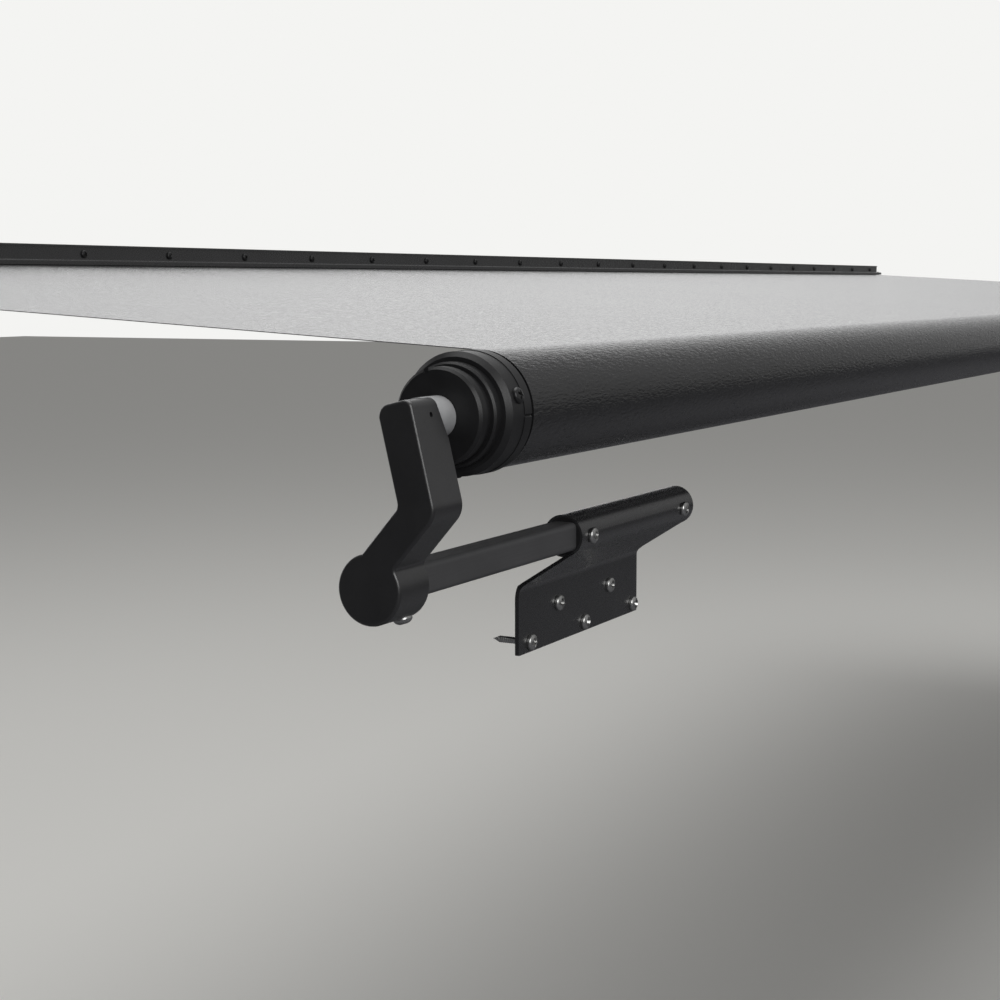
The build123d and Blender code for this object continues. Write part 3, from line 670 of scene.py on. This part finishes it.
@dataclass
class FabricCover:
    """The stretched fabric, what is wound on the roller and the hems at both ends."""

    width: float = 4.524
    thickness: float = 0.0005
    slot_height: float = -0.016
    start_y: float = -0.0205
    axis_y: float = ROLLER_Y
    axis_z: float = ROLLER_Z
    roll_radius: float = 0.03495
    tube_radius: float = 0.03305
    layer_gap: float = 0.00004
    soft_gap: float = 0.00035
    lift_turn: float = 0.2
    seam_gap: float = 0.0001
    travel: float = 1.05
    rail_creases: tuple[Crease, ...] = (Crease(0.9, 0.31, 1.6, wander=1.5),
                                        Crease(0.45, 0.137, 2.3, phase=0.8))
    rail_crease_share: float = 0.35
    crease_fade: float = 0.8
    long_crease: Crease = Crease(0.35, 0.9, phase=0.6)
    span_points: tuple[int, int] = (301, 61)
    wound_points: int = 61
    points_per_turn: int = 110
    hem_half: float = 0.0006
    hem_steps: int = 24
    hem_parts: int = 40
    rail_rope: tuple[float, float] = (-0.008, 0.0042)
    rail_hem_reach: float = 0.0125
    rope_depth: float = 0.033 - 0.0018 - 0.0027
    roller_rope_radius: float = 0.0024
    roller_hem_reach: float = 0.0045

    @property
    def touch_reach(self) -> float:
        """Distance from the roller's axis to the middle of the cloth that leaves it."""
        return self.roll_radius + self.soft_gap + self.thickness / 2

    @property
    def touch_angle(self) -> float:
        """Angle from +Y at which the stretched fabric meets the roll."""
        run, rise = self.start_y - self.axis_y, self.slot_height - self.axis_z
        return math.atan2(rise, run) + math.acos(self.touch_reach / math.hypot(run, rise))

    def ripple(self, x: np.ndarray, share: np.ndarray) -> np.ndarray:
        """Height of the soft creases that run slantwise off the rail.

        Args:
            x: places along the rail, in metres.
            share: 0 at the rail and 1 at the roll.

        Returns:
            Heights in metres.
        """
        fade = np.sin(np.pi * np.clip(share, 0, 1)) ** self.crease_fade
        near_rail = np.exp(-share / self.rail_crease_share)
        slanting = sum(crease.wave(x, share) for crease in self.rail_creases)
        return fade * MM * (slanting * near_rail + self.long_crease.wave(x, share))

    def span(self, kit: "Kit") -> bpy.types.Object:
        """Builds the stretched fabric.

        Args:
            kit: the finishes.

        Returns:
            The piece.
        """
        reach, touch = self.touch_reach, self.touch_angle
        end = (self.axis_y + reach * math.cos(touch), self.axis_z + reach * math.sin(touch))
        xs = np.linspace(-self.width / 2, self.width / 2, self.span_points[0])
        shares = np.linspace(0.0, 1.0, self.span_points[1])
        x, share = np.meshgrid(xs, shares, indexing="ij")
        y = self.start_y + (end[0] - self.start_y) * share
        z = self.slot_height + (end[1] - self.slot_height) * share + self.ripple(x, share)
        grid = np.stack([x, y, z], axis=-1)
        along_x = np.gradient(grid, axis=0)
        along_y = np.gradient(grid, axis=1)
        normals = np.cross(along_y, along_x)
        normals /= np.linalg.norm(normals, axis=-1, keepdims=True)
        length = math.dist((self.start_y, self.slot_height), end)
        piece = thick_sheet("stretched_fabric", grid, normals, self.thickness,
                            kit.finish["vinyl"], (self.width, length))
        kit.stand_for(piece, "wall", "fabric", "fabric_span")
        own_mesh(piece)
        return piece

    def wound(self, kit: "Kit") -> bpy.types.Object:
        """Builds the fabric wound on the roller as one spiral.

        Args:
            kit: the finishes.

        Returns:
            The piece.
        """
        pitch = self.thickness + self.layer_gap
        inner = self.tube_radius + self.thickness / 2 + self.layer_gap
        outer = self.roll_radius - self.thickness / 2
        turns = (outer - inner) / pitch
        end = self.touch_angle + self.seam_gap / self.touch_reach
        steps = np.linspace(0.0, 1.0, int(turns * self.points_per_turn) + 1)
        angle = end + 2 * np.pi * turns * (1.0 - steps)
        rise = self.soft_gap + self.thickness
        last = np.clip((steps - (1.0 - self.lift_turn / turns)) * turns / self.lift_turn, 0, 1)
        radius = inner + (outer - inner) * steps + rise * last ** 2 * (3 - 2 * last)
        xs = np.linspace(-self.width / 2, self.width / 2, self.wound_points)
        x, _ = np.meshgrid(xs, steps, indexing="ij")
        y = self.axis_y + radius * np.cos(angle) + 0 * x
        z = self.axis_z + radius * np.sin(angle) + 0 * x
        grid = np.stack([x, y, z], axis=-1)
        normals = np.stack([0 * x, np.cos(angle) + 0 * x, np.sin(angle) + 0 * x], axis=-1)
        length = 2 * math.pi * turns * (inner + outer) / 2
        piece = thick_sheet("wound_fabric", grid, -normals, self.thickness,
                            kit.finish["vinyl"], (self.width, length))
        turned_outwards(piece)
        kit.stand_for(piece, "roller", "fabric", "fabric_roll")
        return piece

    def hem(self, kit: "Kit", name: str, centre: tuple[float, float], radius: float,
            towards: tuple[float, float], reach: float) -> bpy.types.Object:
        """Builds a sewn hem: a cord in a fold of fabric that leaves it as two layers.

        Args:
            kit: the finishes.
            name: the piece's name.
            centre: Y and Z of the cord.
            radius: outer radius of the fold.
            towards: unit direction in Y and Z in which the fold leaves.
            reach: distance from the cord to the fold's edge.

        Returns:
            The piece.
        """
        across = (-towards[1], towards[0])
        open_angle = math.asin(self.hem_half / radius)
        section = [(reach, -self.hem_half), (reach, self.hem_half)]
        for step in range(self.hem_steps + 1):
            turn = open_angle + (2 * math.pi - 2 * open_angle) * step / self.hem_steps
            section.append((radius * math.cos(turn), radius * math.sin(turn)))
        points = []
        for x in np.linspace(-self.width / 2, self.width / 2, self.hem_parts + 1):
            for along, side in section:
                points.append((x, centre[0] + along * towards[0] + side * across[0],
                               centre[1] + along * towards[1] + side * across[1]))
        count = len(section)
        last = self.hem_parts * count
        faces: list[tuple[int, ...]] = [tuple(range(count)),
                                        tuple(range(last, last + count))[::-1]]
        for i in range(self.hem_parts):
            for j in range(count):
                a, b = i * count + j, i * count + (j + 1) % count
                faces.append((a, b, b + count, a + count))
        piece = mesh_object(name, points, faces, kit.finish["hem"], smooth_angle=40.0)
        turned_outwards(piece)
        return piece

    def build(self, kit: "Kit") -> None:
        """Builds the whole cover.

        Args:
            kit: the finishes.
        """
        span = self.span(kit)
        self.wound(kit)
        rope_y, rope_radius = self.rail_rope
        rail_hem = self.hem(kit, "rail_hem", (rope_y, self.slot_height), rope_radius,
                            (-1.0, 0.0), self.rail_hem_reach)
        kit.stand_for(rail_hem, "wall", "rope", "fabric_rail_rope")
        roller_hem = self.hem(kit, "roller_hem", (self.axis_y, self.axis_z - self.rope_depth),
                              self.roller_rope_radius, (0.0, -1.0), self.roller_hem_reach)
        kit.stand_for(roller_hem, "roller", "rope", "fabric_roller_rope")


@dataclass
class SpringRoller:
    """The tube, its spring and plug, and the moulded caps with their screws."""

    axis_y: float = ROLLER_Y
    axis_z: float = ROLLER_Z
    half_width: float = FABRIC_EDGE
    screw_inset: float = 0.0185
    seat_radius: float = 0.0354
    first_angle: float = 18.0
    screw_count: int = 3
    screws: PanScrew = field(default_factory=lambda: PanScrew(
        head_radius=0.0048, head_height=0.0030, shank_radius=0.0018, length=0.0060,
        segments=32))

    def build(self, kit: "Kit") -> None:
        """Dresses the roller and sets the caps' screws.

        Args:
            kit: the finishes and the tree for rows of screws.
        """
        # The tube's near-black finish is partly painted shade for the gap beside each cap.
        kit.dress("roller_tube", "tube gap shade")
        kit.dress("torsion_spring", "oiled steel")
        kit.dress("spring_plug", "nylon")
        kit.dress("spring_collar", "nylon")
        kit.dress("spring_plug_rivets", "zinc")
        screw = self.screws.build("cap screw")
        for side, sign in SIDES:
            kit.dress(f"{side}_end_cap", "nylon")
            meshes = []
            for k in range(self.screw_count):
                angle = math.radians(self.first_angle + 360 / self.screw_count * k)
                out = (-math.cos(angle), math.sin(angle))
                seat = (sign * (self.half_width + self.screw_inset),
                        self.axis_y + self.seat_radius * out[0],
                        self.axis_z + self.seat_radius * out[1])
                lean = (math.pi / 2 - angle, 0.0, 0.0)
                meshes.append(kit.rows.row(screw, kit.finish["black oxide"], 1, seat,
                                           (0.0, 0.0, 0.0), lean, seed=11 + k))
            piece = joined(f"{side}_cap_pan_screws", meshes, kit.finish["black oxide"])
            kit.stand_for(piece, "roller", "screw_steel", f"{side}_cap_screws")


@dataclass
class ArmSet:
    """One arm with its bar, spindle, bush and clamp screw."""

    side: str
    spindle: str

    def build(self, kit: "Kit") -> None:
        """Dresses the set.

        Args:
            kit: the finishes.
        """
        kit.dress(f"{self.side}_arm", "cast paint")
        kit.dress(f"{self.side}_bar", "drawn steel")
        kit.dress(f"{self.side}_spindle_bush", "acetal")
        kit.dress(f"{self.side}_arm_clamp_screw", "stainless")
        kit.dress(self.spindle, "zinc")


@dataclass
class SleeveBracket:
    """One bracket with its wall screws, sleeve screws and guides."""

    side: str
    sign: float
    edge: float = FABRIC_EDGE
    bar_y: float = -1.1127
    bar_z: float = -0.2078
    sleeve_radius: float = 0.0143
    plate_thickness: float = 0.0028
    first_screw: float = 0.1175
    pitch: float = 0.081
    low_row: float = -0.0684
    row_spacing: float = 0.020
    sleeve_places: tuple[float, float] = (0.157, 0.314)
    sleeve_drop: float = 0.0005
    wall_screw: PanScrew = field(default_factory=lambda: PanScrew(
        head_radius=0.0055, head_height=0.0035, shank_radius=0.0024, length=0.028,
        thread_pitch=0.0016, segments=32))
    sleeve_screw: PanScrew = field(default_factory=lambda: PanScrew(
        head_radius=0.0055, head_height=0.0035, shank_radius=0.0024, length=0.00475,
        segments=32))

    def build(self, kit: "Kit") -> None:
        """Dresses the bracket and sets its screws.

        Args:
            kit: the finishes and the tree for rows of screws.
        """
        kit.dress(f"{self.side}_bracket", "powder coat")
        kit.dress(f"{self.side}_sleeve_bushes", "nylon")
        steel = kit.finish["stainless"]
        wall_screw = self.wall_screw.build(f"{self.side} wall screw")
        seat_y = self.bar_y + self.sleeve_radius - self.plate_thickness
        start = self.sign * (self.edge - self.first_screw)
        step = -self.sign * self.pitch
        low = self.bar_z + self.low_row
        lower = kit.rows.row(wall_screw, steel, 3, (start, seat_y, low),
                             (step, 0, 0), FACING_OUT, seed=21)
        upper = kit.rows.row(wall_screw, steel, 2,
                             (start + step / 2, seat_y, low + self.row_spacing),
                             (step, 0, 0), FACING_OUT, seed=27)
        piece = joined(f"{self.side}_wall_pan_screws", [lower, upper], steel)
        kit.stand_for(piece, "slide_out", "screw_steel", f"{self.side}_bracket_screws")
        sleeve_screw = self.sleeve_screw.build(f"{self.side} sleeve screw")
        near, far = self.sleeve_places
        pair = kit.rows.row(sleeve_screw, steel, 2,
                            (self.sign * (self.edge - near), self.bar_y - self.sleeve_radius,
                             self.bar_z - self.sleeve_drop),
                            (-self.sign * (far - near), 0, 0), FACING_OUT, seed=33)
        piece = joined(f"{self.side}_sleeve_pan_screws", [pair], steel)
        kit.stand_for(piece, "slide_out", "screw_steel", f"{self.side}_sleeve_screws")


@dataclass
class Kit:
    """The finishes, the fastener tree and the frame's CAD nodes."""

    frame: dict[str, Any]
    rows: FastenerRow
    finish: dict[str, bpy.types.Material]

    def dress(self, node: str, finish: str) -> None:
        """Gives a CAD node its finish."""
        slots = self.frame["nodes"][node].data.materials
        for k in range(len(slots)):
            slots[k] = self.finish[finish]
        if not slots:
            slots.append(self.finish[finish])
        log.info("%s: %s", node, self.finish[finish].name)

    def stand_for(self, piece: bpy.types.Object, body: str, slot: str, *nodes: str) -> None:
        """Makes a piece ride on a body in place of CAD nodes."""
        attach(piece, body)
        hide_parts(*nodes)


@dataclass(frozen=True)
class Lamp:
    """A round soft light: its place, what it points at, its width and its watts."""

    name: str
    place: tuple[float, float, float]
    aim: tuple[float, float, float]
    size: float
    power: float


@dataclass
class Studio:
    """Camera, floor, backdrop and lights."""

    location: tuple[float, float, float] = (-3.1565, -1.6306, -0.0416)
    yaw: float = 28.62
    pitch: float = -6.99
    roll: float = -0.151
    lens: float = 63.35
    floor_height: float = -1.3
    floor_reach: float = 30.0
    lamps: tuple[Lamp, ...] = (
        Lamp("overhead", (-0.5, -0.4, 4.5), (-0.5, -0.6, 0.0), 6.0, 165.0),
        Lamp("fill", (-5.2, -4.3, 1.7), (-2.2, -1.1, -0.15), 3.2, 85.0))
    bright_side: tuple[float, float, float] = (0.0, -0.7, 0.7)
    screen_side: tuple[float, float, float] = (0.75, 0.62, -0.2)

    def camera(self) -> None:
        """Sets the camera where the photograph was taken from."""
        yaw, pitch, roll = (math.radians(a) for a in (self.yaw, self.pitch, self.roll))
        ahead = Vector((math.cos(yaw) * math.cos(pitch), math.sin(yaw) * math.cos(pitch),
                        math.sin(pitch)))
        right = Vector((math.sin(yaw), -math.cos(yaw), 0.0))
        up = right.cross(ahead)
        level = (right * math.cos(roll) + up * math.sin(roll),
                 up * math.cos(roll) - right * math.sin(roll))
        data = bpy.data.cameras.new("camera")
        data.lens = self.lens
        data.sensor_width = 36.0
        data.clip_start = 0.05
        data.clip_end = 100.0
        camera = bpy.data.objects.new("camera", data)
        camera.matrix_world = Matrix((
            (level[0].x, level[1].x, -ahead.x, self.location[0]),
            (level[0].y, level[1].y, -ahead.y, self.location[1]),
            (level[0].z, level[1].z, -ahead.z, self.location[2]),
            (0.0, 0.0, 0.0, 1.0)))
        bpy.context.scene.collection.objects.link(camera)
        bpy.context.scene.camera = camera

    def floor(self) -> None:
        """Lays a plain pale floor under the awning."""
        reach, height = self.floor_reach, self.floor_height
        material = bpy.data.materials.new("pale floor")
        material.use_nodes = True
        tree = material.node_tree
        tree.nodes.clear()
        path = add_node(tree, "ShaderNodeLightPath")
        tone = add_node(tree, "ShaderNodeMix", {
            "Factor": (path, "Is Camera Ray"), "A": linear("#77777A"),
            "B": linear("#E8E7E3")}, data_type="RGBA")
        skin = add_node(tree, "ShaderNodeBsdfDiffuse", {"Color": (tone, 2)})
        add_node(tree, "ShaderNodeOutputMaterial", {"Surface": (skin, "BSDF")})
        corners = [(-reach, -reach, height), (reach, -reach, height),
                   (reach, reach, height), (-reach, reach, height)]
        floor = mesh_object("floor", corners, [(0, 1, 2, 3)], material)

    def light(self) -> None:
        """Hangs a wide soft light overhead and a weaker one behind the camera."""
        for lamp in self.lamps:
            data = bpy.data.lights.new(lamp.name, "AREA")
            data.shape = "DISK"
            data.size = lamp.size
            data.energy = lamp.power
            hung = bpy.data.objects.new(lamp.name, data)
            ahead = (Vector(lamp.aim) - Vector(lamp.place)).normalized()
            hung.matrix_world = (Matrix.Translation(lamp.place)
                                 @ ahead.to_track_quat("-Z", "Y").to_matrix().to_4x4())
            bpy.context.scene.collection.objects.link(hung)

    def world(self) -> None:
        """Surrounds it with a pale backdrop ahead and a dimmer room behind."""
        world = bpy.data.worlds.new("studio")
        world.use_nodes = True
        tree = world.node_tree
        tree.nodes.clear()
        path = add_node(tree, "ShaderNodeLightPath")
        where = add_node(tree, "ShaderNodeTexCoord")
        outwards = add_node(tree, "ShaderNodeVectorMath", {
            0: (where, "Generated"), 1: self.bright_side}, operation="DOT_PRODUCT")
        around = add_node(tree, "ShaderNodeMapRange", {
            "Value": (outwards, "Value"), "From Min": 0.17, "From Max": 0.6,
            "To Min": 0.06, "To Max": 0.36})
        ahead = add_node(tree, "ShaderNodeVectorMath", {
            0: (where, "Generated"), 1: self.screen_side}, operation="DOT_PRODUCT")
        screen = add_node(tree, "ShaderNodeMapRange", {
            "Value": (ahead, "Value"), "From Min": 0.52, "From Max": 0.93,
            "To Min": 0.0, "To Max": 1.03}, interpolation_type="SMOOTHSTEP")
        level = add_node(tree, "ShaderNodeMath", {
            0: (around, "Result"), 1: (screen, "Result")}, operation="ADD")
        room = add_node(tree, "ShaderNodeBackground", {
            "Color": linear("#FFFFFF"), "Strength": (level, "Value")})
        shown = add_node(tree, "ShaderNodeBackground", {
            "Color": linear("#F4F4F2"), "Strength": 1.0})
        mixed = add_node(tree, "ShaderNodeMixShader", {
            0: (path, "Is Camera Ray"), 1: (room, "Background"), 2: (shown, "Background")})
        add_node(tree, "ShaderNodeOutputWorld", {"Surface": (mixed, "Shader")})
        bpy.context.scene.world = world

    def build(self) -> None:
        """Sets up the whole studio."""
        bpy.context.scene.view_settings.view_transform = "Standard"
        self.camera()
        self.floor()
        self.light()
        self.world()


def main() -> None:
    """Loads the frame and builds every sub-assembly in order."""
    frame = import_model()
    Studio().build()
    kit = Kit(frame, FastenerRow(), {
        "powder coat": POWDER_COAT.build(), "cast paint": CAST_PAINT.build(),
        "drawn steel": DRAWN_STEEL.build(), "nylon": MOULDED_NYLON.build(),
        "acetal": ACETAL.build(), "vinyl": COATED_VINYL.build(),
        "stainless": STAINLESS.build(), "zinc": ZINC_PLATE.build(),
        "black oxide": BLACK_OXIDE.build(), "oiled steel": OILED_STEEL.build(),
        "tube gap shade": TUBE_ALUMINIUM_GAP_SHADE.build(), "hem": HEM_CORD.build()})
    WallRail().build(kit)
    FabricCover().build(kit)
    SpringRoller().build(kit)
    ArmSet("left", "left_spring_spindle").build(kit)
    ArmSet("right", "right_idler_spindle").build(kit)
    for side, sign in SIDES:
        SleeveBracket(side, sign).build(kit)


if __name__ == "__main__":
    main()
